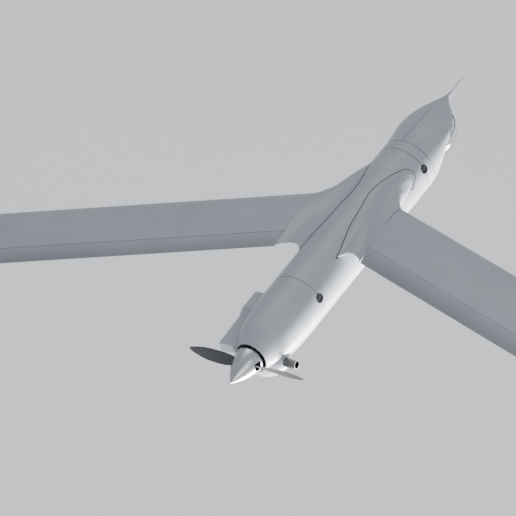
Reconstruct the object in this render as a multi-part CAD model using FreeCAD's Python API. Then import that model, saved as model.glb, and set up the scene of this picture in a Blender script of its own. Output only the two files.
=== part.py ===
"""Catapult-launched fixed-wing survey drone: swept tailless wing, camera turret, pusher engine.

Millimetres. Shapes are drawn in the aircraft datum frame: +X port, +Y aft, +Z up, with the fuselage
axis on Y and the two leading edges meeting at the datum. place() then moves everything so that the
origin is the centre of the launch lug's flat face, under the centre of gravity.
"""
import FreeCAD, Part
import math
import os
from FreeCAD import Vector as V

# ---- driving dimensions -------------------------------------------------------------------------
FUSELAGE_R = 90.0
WALL = 3.0
GAP = 0.3                  # clearance between faces of pieces that only meet
LUG_FACE_DROP = 104.0      # fuselage axis to the launch lug's flat face
LUG_STATION = 320.0        # launch lug centre, aft of the datum
LUG_SIZE = (56.0, 100.0)   # width, length of the lug
LUG_HOLE_R = 3.0
LUG_HOLE_PITCH = 64.0
LUG_ROUND = 8.0

# fuselage stations along Y
HEAD_SEAM = -207.0
COLLAR_SEAM = -170.0
TAIL_SEAM = 441.0
SEAM = 1.2                 # width of the open line between fuselage modules
COWL_END = 706.0
BEAK_END = -483.0
PITOT_TIP = -558.0
BEAK_Z = 57.0
NOSE_SKIN = 2.4
NOSE_JOINT_FRONT = -391.0  # the groove along the nose shells' joint starts here
NOSE_JOINT_WIDE, NOSE_JOINT_DEEP = 1.0, 0.9
PITOT_R = 2.4
PITOT_STEM_R = 2.8
PITOT_BORE_R = 1.1
PITOT_PORTS = (30.0, 34.0) # static ports behind the tip

# wing
SWEEP = 20.0
CHORD = 232.1              # measured square to the swept leading edge
WING_Z = 65.0
THICKNESS = 0.12
CAMBER = 0.015
SKIN = 1.8
ROOT_X = 150.0             # wing panel starts here
TIP_X = 1500.0
HINGE_SHARE = 0.77
ELEVON_IN = ROOT_X + 1.6   # span positions of the elevon's ends
ELEVON_OUT = 1430.0
ELEVON_DROOP = 4.0
COVE = 0.6                 # gap round a control surface's nose
HINGE_ROD_R = 1.0
SPAR_R = 9.0
SPAR_SHARE = 0.33
SERVO_X = 620.0
SERVO_BACK = 62.0          # servo shaft to elevon hinge
SERVO_DROP = 3.0           # servo shaft below the hinge axis
ARM = 17.0                 # servo arm and horn, pin to pin

# winglet
FIN_HEIGHT = 215.0
FIN_ROOT_CHORD = 205.0
FIN_TIP_CHORD = 118.0
FIN_CANT = 34.0            # outward lean at the top
FIN_RAKE = 96.0            # aft shift of the tip's leading edge
FIN_X = 1513.0
FIN_HINGE_SHARE = 0.66
FIN_THICKNESS = 0.10

# camera turret
DOME_C = V(0, -334, 26)
DOME_R = 89.0
DOME_WALL = 2.0
# edge of the nose shell that the dome fills, seen from the side: aft-running, (station, height)
HOOD_EDGE = [(-424, 54), (-334, 34), (-290, 24), (-276, -48)]
SEAT_EDGE = [(-424, 57.1), (-334, 37.1), (-287, 26.6), (-272.9, -48)]
BALL_C = V(0, -352, 10)
BALL_R = 42.0
LENS_FACE = 38.0           # ball centre to the flat the lenses sit in
LOOK_DOWN = 45.0           # the camera's depression at rest
LENS_SINK = 3.0            # depth of the lens recesses
YOKE_IN, YOKE_OUT = BALL_R + 2.5, BALL_R + 8.0   # inner and outer faces of the yoke's arms
YOKE_HALF = 11.0           # half width of the arms and of the bar over the ball
YOKE_BAR = 6.0             # thickness of that bar
YOKE_PLATE_R = 26.0
YOKE_TOP = BALL_C.z + BALL_R + 9.5
TRUNNION_R = 4.0
PAN_SHAFT_R = 6.0
TURRET_BASE_R = 22.0
TURRET_BASE_TOP = YOKE_TOP + 9.0
TURRET_BEAM_LOW = YOKE_TOP + 4.0
TURRET_BEAM_HALF = 9.0

# tail and propeller
SPINNER_BASE = 716.5
SPINNER_TIP = 825.0
SPINNER_R = 43.8
PROP_Y = 733.0
PROP_R = 197.0
PROP_REST = 4.9
ENGINE_Y = 548.0
SCOOP_X = 111.0
LATCH_ANGLE = 72.0         # from the top of the fuselage
LATCH_R = 15.0
LATCH_TOP = math.sqrt(FUSELAGE_R**2 - LATCH_R**2) - 0.2
LATCH_THICK = 3.5
LATCH_SLOT = (10.4, 2.2, 2.0)   # length, width, depth of the tool slot
LATCH_TURN = 35.0
LATCH_SHANK_R = 4.0
LATCH_CUP = (3.9, 8.0)     # top and bottom of the cup under the latch's face
HUB_BOLT_CIRCLE = 11.5
HUB_BOLT_R = 2.0
HUB_BOLT_COUNT = 4
HUB_R = 17.0
HUB_HALF = 11.0
DRIVE_R = 9.0
STUD_R = 4.9               # the drive shaft's threaded end through the propeller

X, Y, Z = V(1, 0, 0), V(0, 1, 0), V(0, 0, 1)
ORIGIN = V(0, 0, 0)


# ---- small helpers ------------------------------------------------------------------------------
def place(shape):
    """Moves a shape from the aircraft datum to the row frame."""
    moved = shape.copy()
    moved.translate(V(0, -LUG_STATION, LUG_FACE_DROP))
    return moved


def mirrored(shape):
    return shape.mirror(ORIGIN, X)


def rotated(shape, centre, axis, degrees):
    turned = shape.copy()
    turned.rotate(centre, axis, degrees)
    return turned


def box(x0, x1, y0, y1, z0, z1):
    return Part.makeBox(x1 - x0, y1 - y0, z1 - z0, V(x0, y0, z0))


def rod(start, end, radius):
    along = end - start
    return Part.makeCylinder(radius, along.Length, start, along)


def tube(start, end, outer, inner):
    return rod(start, end, outer).cut(rod(start, end, inner))


def disc(y0, y1, radius, x=0.0, z=0.0):
    return rod(V(x, y0, z), V(x, y1, z), radius)


def ring(y0, y1, outer, inner):
    return tube(V(0, y0, 0), V(0, y1, 0), outer, inner)


def spline(points, **how):
    curve = Part.BSplineCurve()
    curve.interpolate(points, **how)
    return curve.toShape()


def prism(points, along):
    return Part.Face(Part.makePolygon(points + points[:1])).extrude(along)


def group(shapes):
    return Part.makeCompound(shapes)


def on_skin(y, degrees, radius=FUSELAGE_R):
    """Point on the fuselage at an angle from the top, positive to port."""
    a = math.radians(degrees)
    return V(radius * math.sin(a), y, radius * math.cos(a))


# ---- airfoils -----------------------------------------------------------------------------------
def half_thickness(share, thickness):
    s = max(share, 0.0)
    return 5 * thickness * (
        0.2969 * math.sqrt(s) - 0.1260 * s - 0.3516 * s**2 + 0.2843 * s**3 - 0.1015 * s**4
    )


def camber_height(share, camber):
    return 4 * camber * share * (1 - share)


def section(chord, thickness, camber, to_point, inset=0.0, start=0.0, end=1.0, steps=14):
    """Closed airfoil wire. to_point turns (distance aft of the leading edge, height) into a point."""
    shares = [start + (end - start) * (1 - math.cos(math.pi * i / steps)) / 2 for i in range(steps + 1)]

    def side(sign):
        return [
            to_point(
                chord * s,
                chord * (camber_height(s, camber) + sign * half_thickness(s, thickness)) - sign * inset,
            )
            for s in shares
        ]

    upper, lower = side(1), side(-1)
    if start == 0.0:
        lower[0] = upper[0]
    edges = [spline(upper), Part.makeLine(upper[-1], lower[-1]), spline(lower[::-1])]
    if start > 0.0:
        edges.append(Part.makeLine(lower[0], upper[0]))
    return Part.Wire(edges)


def wing_bar(inset=0.0, start=0.0, end=1.0):
    """Unswept wing of endless span, with its leading edge on X."""
    wire = section(CHORD, THICKNESS, CAMBER, lambda a, h: V(-200, a, WING_Z + h), inset, start, end)
    return Part.Face(wire).extrude(V(2000, 0, 0))


HINGE_BACK = CHORD * HINGE_SHARE
HINGE_Z = WING_Z + CHORD * camber_height(HINGE_SHARE, CAMBER)
NOSE_R = CHORD * half_thickness(HINGE_SHARE, THICKNESS) * 0.985


def swept(shape):
    return rotated(shape, ORIGIN, Z, SWEEP)


def span_slab(x0, x1):
    return box(x0, x1, -400, 1200, -200, 600)


def hinge_reach(x):
    """Distance along the swept hinge from the datum's foot to a span position."""
    return (x + HINGE_BACK * math.sin(math.radians(SWEEP))) / math.cos(math.radians(SWEEP))


# ---- nose ---------------------------------------------------------------------------------------
# station, top, bottom, half width
HEAD_SECTIONS = [
    (HEAD_SEAM, 90.0, -90.0, 90.0),
    (-227.0, 88.6, -84.0, 90.4),
    (-262.0, 87.2, -59.0, 91.0),
    (-294.0, 86.0, -34.0, 90.0),
    (-334.0, 83.6, -14.0, 85.5),
    (-378.0, 80.0, -3.0, 70.0),
    (-418.0, 74.6, 3.5, 44.0),
    (-448.0, 68.6, 16.0, 19.0),
    (-468.0, 63.4, 38.0, 7.0),
    (BEAK_END, 60.6, 53.4, 3.6),
]


def head(inset=0.0):
    """The nose as a loft of ellipses."""
    wires = []
    for station, top, bottom, half_width in HEAD_SECTIONS:
        if inset and half_width < 10:
            continue
        tall, wide = (top - bottom) / 2 - inset, half_width - inset
        centre = V(0, station, (top + bottom) / 2)
        if wide >= tall:
            curve = Part.Ellipse(centre + V(wide, 0, 0), centre + V(0, 0, tall), centre)
        else:
            curve = Part.Ellipse(centre + V(0, 0, tall), centre + V(-wide, 0, 0), centre)
        wires.append(Part.Wire(curve.toShape()))
    return Part.makeLoft(wires, True, False)


def side_prism(points):
    """Prism right across the nose from (station, height) points."""
    return prism([V(-110, y, z) for y, z in points], V(220, 0, 0))


def hood_opening(gap=0.0):
    """The space under the nose that the dome fills."""
    edge = [(y + (gap if y < -400 else -gap), z - gap) for y, z in HOOD_EDGE]
    return side_prism(edge + [(HOOD_EDGE[-1][0] - gap, -130), (HOOD_EDGE[0][0] + gap, -130)])


def nose_shells():
    """Port and starboard halves, open below for the dome, with a groove along their joint."""
    shell = head().cut(head(NOSE_SKIN)).cut(hood_opening())
    shell = shell.cut(rod(V(0, BEAK_END - 5, BEAK_Z), V(0, BEAK_END + 24, BEAK_Z), PITOT_STEM_R + 0.1))
    half_joint = NOSE_JOINT_WIDE / 2
    groove = box(-half_joint, half_joint, NOSE_JOINT_FRONT, HEAD_SEAM + 1, 70, 100)
    shell = shell.cut(groove.cut(head(NOSE_JOINT_DEEP)))
    half = box(0, 200, -600, 0, -200, 200)
    halves = [shell.common(half), shell.common(mirrored(half))]
    return [max(piece.Solids, key=lambda solid: solid.Volume) for piece in halves]


def turret_seat():
    """Bracket behind and above the dome, and the wall that closes the beak in front of it."""
    x, y, z = BALL_C
    bracket = side_prism(HOOD_EDGE + SEAT_EDGE[::-1]).common(head(NOSE_SKIN + 0.1))
    bracket = bracket.cut(rod(V(x, y, z + 2), V(x, y, z + 90), BALL_R + 12))
    station, height = HOOD_EDGE[0]
    wall = box(-100, 100, station - 3, station, -40, height - 0.2).common(head(NOSE_SKIN + 0.1))
    return group([bracket, wall.cut(Part.makeSphere(DOME_R + GAP, DOME_C))])


def dome_window():
    ball = Part.makeSphere(DOME_R, DOME_C).cut(Part.makeSphere(DOME_R - DOME_WALL, DOME_C))
    return ball.common(hood_opening(0.3))


def turret():
    """Fixed base, yoke that pans about Z and ball that tilts about X."""
    x, y, z = BALL_C
    top = V(x, y, YOKE_TOP)
    base = rod(V(x, y, YOKE_TOP + 0.5), V(x, y, TURRET_BASE_TOP), TURRET_BASE_R)
    beam = box(-200, 200, y - TURRET_BEAM_HALF, y + TURRET_BEAM_HALF, TURRET_BEAM_LOW, TURRET_BASE_TOP)
    base = base.fuse(beam).common(head(NOSE_SKIN + GAP)).cut(rod(top, top + Z * 8, PAN_SHAFT_R + 0.05))
    yoke = rod(top - Z * YOKE_BAR, top, YOKE_PLATE_R).fuse(rod(top - Z, top + Z * 7.5, PAN_SHAFT_R))
    bar = box(-YOKE_OUT, YOKE_OUT, y - YOKE_HALF, y + YOKE_HALF, YOKE_TOP - YOKE_BAR, YOKE_TOP)
    yoke = yoke.fuse(bar)
    for side in (-1, 1):
        low, high = sorted((side * YOKE_IN, side * YOKE_OUT))
        yoke = yoke.fuse(box(low, high, y - YOKE_HALF, y + YOKE_HALF, z, YOKE_TOP))
        yoke = yoke.fuse(rod(V(low, y, z), V(high, y, z), YOKE_HALF))
        yoke = yoke.fuse(rod(V(side * (BALL_R - 6), y, z), V(side * (YOKE_IN + 1), y, z), TRUNNION_R))
    ball = Part.makeSphere(BALL_R, BALL_C).cut(rod(V(-60, y, z), V(60, y, z), TRUNNION_R + 0.05))
    look = look_along()
    ball = ball.cut(rod(BALL_C + look * LENS_FACE, BALL_C + look * 60, 60))
    eyes = camera_eyes()
    for centre, radius in eyes:
        ball = ball.cut(rod(centre - look * LENS_SINK, centre + look * 30, radius + 0.02))
    glass = group([rod(c - look * (LENS_SINK - 0.1), c + look * 0.4, r - 0.05) for c, r in eyes])
    return base.removeSplitter(), yoke.removeSplitter(), ball, glass


def look_along():
    a = math.radians(LOOK_DOWN)
    return V(0, -math.cos(a), -math.sin(a))


def camera_eyes():
    """Centre and radius of the main lens and of the two small ones beside it."""
    look = look_along()
    face = BALL_C + look * LENS_FACE
    up = look.cross(X)
    small = 3.6
    return [(face - X * 5.0, 9.0), (face + X * 9.0 + up * 5.5, small), (face + X * 9.0 - up * 5.5, small)]


def pitot():
    """Air data probe on the beak, with its bore and two rings of static ports."""
    root, tip = V(0, BEAK_END, BEAK_Z), V(0, PITOT_TIP, BEAK_Z)
    probe = Part.makeCone(3.6, PITOT_R, 10, root - Y * 0.1, -Y)
    probe = probe.fuse([rod(root - Y * 8, tip, PITOT_R), rod(root + Y * 22, root - Y * 5, PITOT_STEM_R)])
    probe = probe.cut(rod(tip - Y, tip + Y * 22, PITOT_BORE_R))
    for back in PITOT_PORTS:
        for axis in (X, Z):
            probe = probe.cut(rod(tip + Y * back - axis * 5, tip + Y * back - axis * 1.6, 0.4))
    return probe.removeSplitter()


# ---- fuselage -----------------------------------------------------------------------------------
def latch_places():
    stations = (("forward", COLLAR_SEAM), ("aft", TAIL_SEAM))
    return [(name, y, side) for name, y in stations for side in (1, -1)]


def latch_pocket(y, side, radius, inner, outer):
    direction = on_skin(0, side * LATCH_ANGLE, 1.0)
    return rod(V(0, y, 0) + direction * inner, V(0, y, 0) + direction * outer, radius)


def cut_latches(shape):
    for _, y, side in latch_places():
        shape = shape.cut(latch_pocket(y, side, LATCH_R + 0.25, 80, 100))
    return shape


def latch(y, side):
    """Quarter-turn latch: slotted, ribbed disc with a shank and a cam bar."""
    direction = on_skin(0, side * LATCH_ANGLE, 1.0)
    foot = V(0, y, 0)
    body = latch_pocket(y, side, LATCH_R, LATCH_TOP - LATCH_THICK, LATCH_TOP)
    rim = latch_pocket(y, side, LATCH_R - 2.5, LATCH_TOP - 1.2, LATCH_TOP + 1)
    body = body.cut(rim.cut(latch_pocket(y, side, 6.5, LATCH_TOP - 1.5, LATCH_TOP + 2)))
    long, wide, deep = LATCH_SLOT
    slot = box(-long / 2, long / 2, -wide / 2, wide / 2, -deep, 3.0)
    slot = rotated(slot, ORIGIN, Y, side * LATCH_ANGLE)
    slot.translate(foot + direction * LATCH_TOP)
    body = body.cut(rotated(slot, foot, direction, LATCH_TURN))
    shank = rod(foot + direction * (LATCH_TOP - 13), foot + direction * (LATCH_TOP - 3.4), LATCH_SHANK_R)
    bar = box(-3, 3, -9, 9, 0, 3)
    bar = rotated(bar, ORIGIN, Y, side * LATCH_ANGLE)
    bar.translate(foot + direction * (LATCH_TOP - 14.5))
    return body.fuse([shank, bar]).removeSplitter()


def latch_receptacles():
    """Cups behind the seams in which the latches turn."""
    high, low = LATCH_CUP
    cups = []
    for _, y, side in latch_places():
        cup = latch_pocket(y, side, LATCH_R + 0.25, LATCH_TOP - low, LATCH_TOP - high)
        cups.append(cup.cut(latch_pocket(y, side, LATCH_SHANK_R + 0.06, 40, 100)))
    return group(cups)


def collar():
    return cut_latches(ring(HEAD_SEAM + SEAM, COLLAR_SEAM - SEAM / 2, FUSELAGE_R, FUSELAGE_R - WALL))


def joint_rings():
    """Spigots that line up the fuselage modules at their seams, and the nose bulkhead."""
    inner = FUSELAGE_R - WALL - 0.1
    forward = cut_latches(ring(COLLAR_SEAM - 18, COLLAR_SEAM + 22, inner, inner - 4))
    aft = cut_latches(ring(TAIL_SEAM - 22, TAIL_SEAM + 22, inner, inner - 4))
    bulkhead = ring(HEAD_SEAM + SEAM, HEAD_SEAM + SEAM + 4, inner, 46)
    return group([forward, aft, bulkhead])


def spar_holes(radius):
    port = swept(rod(V(-10, CHORD * SPAR_SHARE, WING_Z), V(300, CHORD * SPAR_SHARE, WING_Z), radius))
    return [port, mirrored(port)]


def centre_fuselage():
    shell = ring(COLLAR_SEAM + SEAM / 2, TAIL_SEAM - SEAM / 2, FUSELAGE_R, FUSELAGE_R - WALL)
    shell = cut_latches(shell)
    for hole in spar_holes(SPAR_R + 0.5):
        shell = shell.cut(hole)
    return shell


def launch_lug():
    wide, long = LUG_SIZE
    y0 = LUG_STATION - long / 2
    block = box(-wide / 2, wide / 2, y0, y0 + long, -LUG_FACE_DROP, -70)
    corners = [e for e in block.Edges if abs(e.tangentAt(e.FirstParameter).z) > 0.9]
    block = block.makeFillet(LUG_ROUND, corners).cut(disc(y0 - 5, y0 + long + 5, FUSELAGE_R + 0.1))
    for side in (-1, 1):
        place_y = LUG_STATION + side * LUG_HOLE_PITCH / 2
        block = block.cut(rod(V(0, place_y, -LUG_FACE_DROP - 1), V(0, place_y, -80), LUG_HOLE_R))
    return block


# ---- wing root fairing --------------------------------------------------------------------------
# span position, leading edge, trailing edge, height of the front, of the back, of the crest, depth below,
# lip, and how gently the front rises to the crest (1 is as blunt as the wing)
FAIRING_SECTIONS = [
    (34.0, -22.0, 250.0, 79.5, 70.0, 82.6, 20.0, 2.0, 1.2),
    (45.0, -74.0, 292.0, 74.0, 65.5, 80.6, 20.0, 3.0, 1.5),
    (58.0, -104.0, 304.0, 65.0, 62.0, 80.4, 20.0, 3.0, 2.0),
    (72.0, -123.0, 290.0, 54.0, 61.0, 81.2, 30.0, 3.5, 2.2),
    (82.0, -108.0, 279.0, 42.0, 62.5, 82.0, 38.0, 4.0, 2.2),
    (93.0, -68.0, 272.0, 35.0, 63.5, 82.4, 36.0, 4.0, 2.0),
    (108.0, -9.0, 271.0, 49.0, 63.5, 82.4, 20.0, 4.0, 1.2),
    (124.0, 22.0, 277.0, 57.5, 62.0, 82.2, 15.0, 3.0, 1.0),
    (137.0, 40.0, 287.0, 62.0, 62.5, 82.2, 12.0, 1.5, 1.0),
    (ROOT_X - GAP, 54.5, 301.5, 65.0, 65.0, 82.3, 10.4, 0.0, 1.0),
]
# outline of the fairing's thin edge on the fuselage, seen from above
PAD_OUTLINE = [
    (67, 303), (59, 251), (43.6, 170), (33.7, 78), (28.6, 36), (32.3, -8), (45, -66), (58, -105),
    (70, -124), (79.5, -127), (85.5, -114), (89.3, -94),
]
CREST_SHARE = 0.3          # share of the chord at which the fairing is highest
VALLEY_START, VALLEY_FULL = 110.0, 200.0
VALLEY_X, VALLEY_LEAN = 112.0, 0.16
VALLEY_SHARE = 0.42
VALLEY_IN, VALLEY_OUT = 22.0, 16.0


def eased(value, low, high):
    share = min(1.0, max(0.0, (value - low) / (high - low)))
    return share * share * (3 - 2 * share)


def valley(x, y):
    """Depth of the hollow between the fuselage and the wing's rear half, as a share of the crest."""
    off = x - VALLEY_X - VALLEY_LEAN * (y - VALLEY_FULL)
    width = VALLEY_OUT if off > 0 else VALLEY_IN
    fade = eased(ROOT_X - GAP - x, 0.0, 14.0) * eased(y, VALLEY_START, VALLEY_FULL)
    return VALLEY_SHARE * fade * math.exp(-((off / width) ** 2))


def fairing_wire(x, front, back, front_z, back_z, crest, depth, lip, gentle):
    upper, lower = [], []
    for i in range(17):
        share = (1 - math.cos(math.pi * i / 16)) / 2
        bulge = 2 * half_thickness(share, 1.0)
        y = front + (back - front) * share
        foot = front_z if share < CREST_SHARE else back_z
        rise = bulge**gentle if share < CREST_SHARE else bulge * (1 - valley(x, y))
        upper.append(V(x, y, foot + (crest - foot) * rise))
        lower.append(V(x, y, front_z + (back_z - front_z) * share - depth * bulge - lip * share**3))
    lower[0] = upper[0]
    return Part.Wire([spline(upper), Part.makeLine(upper[-1], lower[-1]), spline(lower[::-1])])


def monotone(knots, values):
    """Piecewise cubic through the values that never overshoots them."""
    gaps = [b - a for a, b in zip(knots, knots[1:])]
    rates = [(b - a) / gap for a, b, gap in zip(values, values[1:], gaps)]
    slopes = [rates[0]] + [
        0.0 if p * q <= 0 else 3 * (g + h) / ((2 * h + g) / p + (h + 2 * g) / q)
        for p, q, g, h in zip(rates, rates[1:], gaps, gaps[1:])
    ] + [rates[-1]]

    def at(x):
        i = max(k for k in range(len(gaps)) if x >= knots[k])
        t = (x - knots[i]) / gaps[i]
        return (
            values[i] * (1 + 2 * t) * (1 - t) ** 2 + gaps[i] * slopes[i] * t * (1 - t) ** 2
            + values[i + 1] * t * t * (3 - 2 * t) + gaps[i] * slopes[i + 1] * t * t * (t - 1)
        )

    return at


def fairing_rows(count=28):
    """The fairing's sections at even steps outwards."""
    columns = list(zip(*FAIRING_SECTIONS))
    curves = [monotone(columns[0], column) for column in columns[1:]]
    first, last = columns[0][0], columns[0][-1]
    steps = [first + (last - first) * i / count for i in range(count + 1)]
    return [[x] + [curve(x) for curve in curves] for x in steps]


def root_fairing():
    body = Part.makeLoft([fairing_wire(*row) for row in fairing_rows()], True, False)
    bore = disc(-300, 500, FUSELAGE_R + 0.1)
    flat = [V(x, y, 0) for x, y in PAD_OUTLINE]
    outline = Part.Wire([spline(flat), Part.makeLine(flat[-1], flat[0])])
    pad = Part.Face(outline).extrude(V(0, 0, 120)).common(disc(-200, 400, FUSELAGE_R + 1.0)).cut(bore)
    fairing = body.cut(bore).fuse(pad).cut(spar_holes(SPAR_R + 0.5)[0]).cut(hinge_bore())
    return max(fairing.Solids, key=lambda s: s.Volume)


# ---- wing ---------------------------------------------------------------------------------------
def hinge_bore(radius=HINGE_ROD_R):
    """The elevon's hinge line as a rod, from inside the root fairing to past the elevon's outer end."""
    reach_in, reach_out = hinge_reach(ELEVON_IN), hinge_reach(ELEVON_OUT)
    return swept(rod(V(reach_in - 16, HINGE_BACK, HINGE_Z), V(reach_out + 12, HINGE_BACK, HINGE_Z), radius))


def wing_skin():
    """Hollow panel with a cove for the elevon and a slot for the servo arm."""
    solid = wing_bar()
    reach_in, reach_out = hinge_reach(ELEVON_IN) - 60, hinge_reach(ELEVON_OUT)
    lip = HINGE_BACK - NOSE_R * 0.22
    bay = box(reach_in, reach_out, lip, 400, 0, 200)
    bay = bay.fuse(rod(V(reach_in, HINGE_BACK, HINGE_Z), V(reach_out, HINGE_BACK, HINGE_Z), NOSE_R + COVE))
    hollow = wing_bar(SKIN, 0.04, 0.70)
    end = V(reach_out, HINGE_BACK, HINGE_Z)
    solid = solid.cut(bay).cut(rod(end - X, end + X * 12, HINGE_ROD_R))
    servo = servo_frame()
    slot = box(servo["x"] - 2.5, servo["x"] + 6.5, servo["y"] - 14, servo["y"] + 14, WING_Z - 30, WING_Z)
    notch = box(servo["x"] - 1.0, servo["x"] + 3.4, HINGE_BACK - 9, HINGE_BACK, WING_Z - 30, HINGE_Z - 2)
    solid = solid.cut(slot).cut(notch)
    shell = swept(solid).common(span_slab(ROOT_X, TIP_X))
    hollow = swept(hollow).common(span_slab(ROOT_X + 8, TIP_X - 8))
    shell = shell.cut(hollow).cut(spar_holes(SPAR_R + 0.1)[0])
    return shell


def elevon():
    """Elevon with its rounded nose, hinge bore and horn."""
    reach_in, reach_out = hinge_reach(ELEVON_IN) - 60, hinge_reach(ELEVON_OUT) - 0.8
    blade = wing_bar().common(box(reach_in, reach_out, HINGE_BACK, 400, 0, 200))
    inner, outer = V(reach_in, HINGE_BACK, HINGE_Z), V(reach_out, HINGE_BACK, HINGE_Z)
    blade = blade.fuse(rod(inner, outer, NOSE_R)).cut(rod(inner - X, outer + X, HINGE_ROD_R + 0.06))
    blade = rotated(blade, V(0, HINGE_BACK, HINGE_Z), X, -ELEVON_DROOP)
    x = servo_frame()["x"]
    pin = V(x, HINGE_BACK, HINGE_Z - ARM)
    horn = prism(
        [
            V(x + 0.3, HINGE_BACK - 2.5, pin.z - 2.5), V(x + 0.3, HINGE_BACK + 3.0, pin.z - 2.5),
            V(x + 0.3, HINGE_BACK + 9.0, HINGE_Z - 1.5), V(x + 0.3, HINGE_BACK - 0.5, HINGE_Z - 1.5),
        ],
        V(1.8, 0, 0),
    )
    horn = horn.cut(rod(pin, pin + X * 5, 0.8))
    return swept(blade).common(span_slab(ELEVON_IN, TIP_X)), swept(horn.cut(blade))


def servo_frame():
    """Servo shaft in the unswept bar frame."""
    return {"x": hinge_reach(SERVO_X), "y": HINGE_BACK - SERVO_BACK, "z": HINGE_Z - SERVO_DROP}


def servo_parts():
    """Servo in the wing, its arm, and the pushrod to the elevon's horn: an exact parallelogram."""
    at = servo_frame()
    shaft = V(at["x"], at["y"], at["z"])
    arm_pin = shaft - Z * ARM
    horn_pin = V(at["x"], HINGE_BACK, HINGE_Z - ARM)
    body = box(shaft.x - 14, shaft.x - 3, shaft.y - 18, shaft.y + 6, shaft.z - 6, shaft.z + 6)
    body = body.fuse(rod(shaft - X * 3.2, shaft - X * 1.2, 3.0)).removeSplitter()
    arm = prism(
        [
            V(shaft.x - 1, shaft.y - 3.2, shaft.z + 3), V(shaft.x - 1, shaft.y + 3.2, shaft.z + 3),
            V(shaft.x - 1, shaft.y + 1.9, arm_pin.z - 2.2), V(shaft.x - 1, shaft.y - 1.9, arm_pin.z - 2.2),
        ],
        V(1.8, 0, 0),
    )
    arm = arm.fuse(rod(arm_pin - X * 0.9, arm_pin + X * 3.6, 0.75)).removeSplitter()
    ear = 2.1
    start, end = arm_pin + X * 2.05, horn_pin + X * 3.3
    aft = (end - start).normalize()
    link = rod(start + aft * 1.4, end - aft * 1.4, 0.9)
    for centre, side in ((arm_pin + X * 1.1, 1), (horn_pin + X * 2.4, 1)):
        link = link.fuse(rod(centre, centre + X * 1.6 * side, ear))
    link = link.cut(rod(arm_pin, arm_pin + X * 6, 0.8))
    link = link.fuse(rod(horn_pin + X * 0.2, horn_pin + X * 3.0, 0.7)).removeSplitter()
    return swept(body), swept(arm), swept(link)


def spar_tubes():
    back = CHORD * SPAR_SHARE
    bar = swept(tube(V(66, back, WING_Z), V(760, back, WING_Z), SPAR_R, SPAR_R - 1.5))
    return group([bar, mirrored(bar)])


def spar_joiner():
    """Aluminium block across the fuselage that both spars plug into."""
    middle = CHORD * SPAR_SHARE / math.cos(math.radians(SWEEP))
    block = box(-58, 58, middle - 16, middle + 42, WING_Z - 15, WING_Z + 13)
    block = block.common(disc(-100, 300, FUSELAGE_R - WALL - 0.2))
    back = CHORD * SPAR_SHARE
    stub = swept(rod(V(40, back, WING_Z), V(200, back, WING_Z), SPAR_R - 1.6))
    stub = stub.cut(swept(box(205, 400, 0, 300, 0, 200)))
    hole = swept(rod(V(66, back, WING_Z), V(300, back, WING_Z), SPAR_R + 0.1))
    for side in (lambda s: s, mirrored):
        block = block.cut(side(hole)).fuse(side(stub))
    return block.removeSplitter()


def hinge_rods():
    wire = hinge_bore(HINGE_ROD_R)
    return group([wire, mirrored(wire)])


# ---- winglet ------------------------------------------------------------------------------------
TIP_LE = TIP_X * math.tan(math.radians(SWEEP))
FIN_LE = TIP_LE + 34.0
FIN_BASE_Z = WING_Z - 6.0


def fin_wire(share, inset=0.0):
    """Section of the winglet at a share of its height."""
    chord = FIN_ROOT_CHORD + (FIN_TIP_CHORD - FIN_ROOT_CHORD) * share
    front = FIN_LE + FIN_RAKE * share
    x = FIN_X + FIN_CANT * share
    z = FIN_BASE_Z + FIN_HEIGHT * share
    return section(chord, FIN_THICKNESS, 0.0, lambda a, h: V(x + h, front + a, z), inset, steps=10)


def fin_hinge(share):
    chord = FIN_ROOT_CHORD + (FIN_TIP_CHORD - FIN_ROOT_CHORD) * share
    return V(
        FIN_X + FIN_CANT * share,
        FIN_LE + FIN_RAKE * share + chord * FIN_HINGE_SHARE,
        FIN_BASE_Z + FIN_HEIGHT * share,
    )


RUDDER_LOW, RUDDER_HIGH = 0.12, 0.93
HOOK_REACH, HOOK_THICK = 26.0, 3.2
HOOK_EYE_R, HOOK_BORE_R = 9.0, 5.0


def fin_nose(grow, low, high):
    """Cone along the rudder's hinge, as fat as the winglet is there."""
    start, end = fin_hinge(low), fin_hinge(high)
    radii = []
    for share in (low, high):
        chord = FIN_ROOT_CHORD + (FIN_TIP_CHORD - FIN_ROOT_CHORD) * share
        radii.append(chord * half_thickness(FIN_HINGE_SHARE, FIN_THICKNESS) * 0.96 + grow)
    return Part.makeCone(radii[0], radii[1], (end - start).Length, start, end - start)


def aft_of_hinge(forward, low, high):
    """Block behind the rudder's hinge, square to it at both ends."""
    start, end = fin_hinge(low), fin_hinge(high)
    up = (end - start).normalize()
    aft = (Y - up * Y.dot(up)).normalize()
    side = up.cross(aft)
    foot = start - aft * forward
    near, far = foot - side * 60, foot + side * 60
    corners = [near, far, far + aft * 220, near + aft * 220]
    return prism(corners, up * (end - start).Length)


def winglet_and_rudder():
    fin = Part.makeLoft([fin_wire(0.0), fin_wire(1.0)], True, True)
    axis = (fin_hinge(1.0) - fin_hinge(0.0)).normalize()
    trim = 0.9 / FIN_HEIGHT
    bay = aft_of_hinge(1.2, RUDDER_LOW, RUDDER_HIGH).fuse(fin_nose(0.55, RUDDER_LOW, RUDDER_HIGH))
    shaft = rod(fin_hinge(RUDDER_LOW) - axis * 18, fin_hinge(RUDDER_HIGH) + axis * 9, 1.5)
    winglet = fin.cut(bay).cut(shaft)
    root_block = tip_block()
    winglet = winglet.fuse(root_block.cut(shaft)).removeSplitter()
    rudder = fin.common(aft_of_hinge(0.0, RUDDER_LOW + trim, RUDDER_HIGH - trim))
    rudder = rudder.fuse(fin_nose(0.0, RUDDER_LOW + trim, RUDDER_HIGH - trim))
    rudder = rudder.fuse(rod(fin_hinge(RUDDER_LOW) - axis * 15, fin_hinge(RUDDER_HIGH) + axis * 8, 1.46))
    return winglet, rudder.removeSplitter()


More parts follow.
